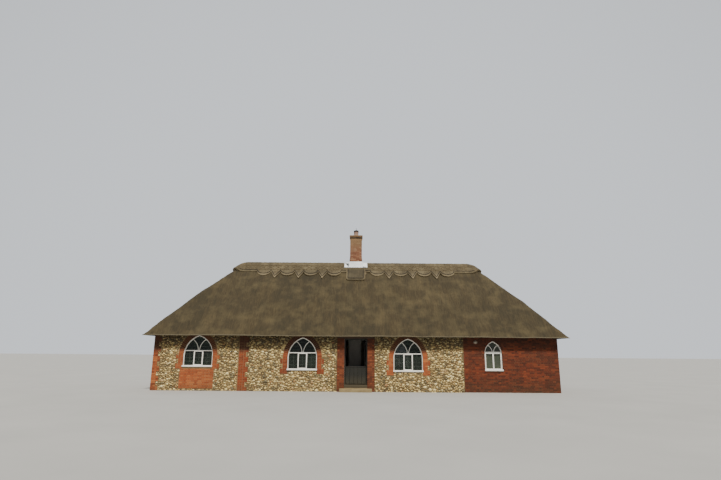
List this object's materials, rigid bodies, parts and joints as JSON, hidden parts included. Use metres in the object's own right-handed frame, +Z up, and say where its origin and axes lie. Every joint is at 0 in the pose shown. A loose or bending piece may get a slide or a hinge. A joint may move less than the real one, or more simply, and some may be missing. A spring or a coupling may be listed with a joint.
{
  "type": "thatched cottage",
  "caption": "Long one-storey flint and brick cottage with pointed windows, a stable door, a hipped thatched roof with a block-cut ridge and a brick chimney.",
  "frame": {"origin": "on the lowest ground, under the middle of the roof and of the floor slab", "axes": "+X along the front wall, to the right as one faces the door; +Y from the front wall to the back wall; +Z up"},
  "size_m": [19.9, 7.3, 8.678],
  "materials": {
    "floor_tile": "worn unglazed quarry tile",
    "flint": "knapped and whole flints in tan lime mortar",
    "brick": "red stock brick in lime mortar",
    "chimney_brick": "weathered orange brick",
    "timber": "dark weathered oak",
    "step_stone": "pale sawn stone",
    "white_joinery": "white painted timber",
    "window_glass": "clear pane over a dark room",
    "door_paint": "dark grey-green painted boards",
    "lamp_white": "pale moulded bulkhead lamp",
    "thatch": "weathered brown straw thatch",
    "ridge_thatch": "block-cut straw ridge",
    "lead": "bright oxidised sheet lead",
    "terracotta": "unglazed clay",
    "dark_iron": "dark weathered metal"
  },
  "bodies": {
    "house": {"floor_slab": "floor_tile", "left_end_wall": "flint", "right_end_wall": "brick", "front_wall_left": "flint", "front_pier": "brick", "front_wall_middle": "flint", "door_pier_left": "brick", "door_pier_right": "brick", "door_lintel": "timber", "door_step": "step_stone", "front_wall_right": "flint", "front_wall_brick": "brick", "back_wall_brick": "brick", "back_wall_right": "flint", "back_pier": "brick", "back_wall_left": "flint", "front_window_1_brick_surround": "brick", "front_window_1_frame": "white_joinery", "front_window_1_glass": "window_glass", "front_window_2_brick_surround": "brick", "front_window_2_frame": "white_joinery", "front_window_2_glass": "window_glass", "front_window_3_brick_surround": "brick", "front_window_3_frame": "white_joinery", "front_window_3_glass": "window_glass", "front_window_4_frame": "white_joinery", "front_window_4_glass": "window_glass", "back_window_1_brick_surround": "brick", "back_window_1_frame": "white_joinery", "back_window_1_glass": "window_glass", "back_window_2_brick_surround": "brick", "back_window_2_frame": "white_joinery", "back_window_2_glass": "window_glass", "back_window_3_frame": "white_joinery", "back_window_3_glass": "window_glass", "door_frame": "door_paint", "wall_lamp": "lamp_white", "thatch_front": "thatch", "thatch_back": "thatch", "thatch_left_hip": "thatch", "thatch_right_hip": "thatch", "thatch_ridge": "ridge_thatch", "chimney_stack": "chimney_brick", "chimney_flashing": "lead", "chimney_pot": "terracotta", "chimney_cowl": "dark_iron"},
    "lower_leaf": {"door_lower_leaf": "door_paint"},
    "upper_leaf": {"door_upper_leaf": "door_paint"}
  },
  "joints": [
    {"name": "lower_leaf_hinge", "type": "hinge", "parent": "house", "child": "lower_leaf", "pos_m": [0.4805, -2.895, 0.7825], "axis": [0, 0, -1], "range_deg": [0, 95]},
    {"name": "upper_leaf_hinge", "type": "hinge", "parent": "house", "child": "upper_leaf", "pos_m": [0.4805, -2.895, 1.79], "axis": [0, 0, 1], "range_deg": [0, 95]}
  ]
}
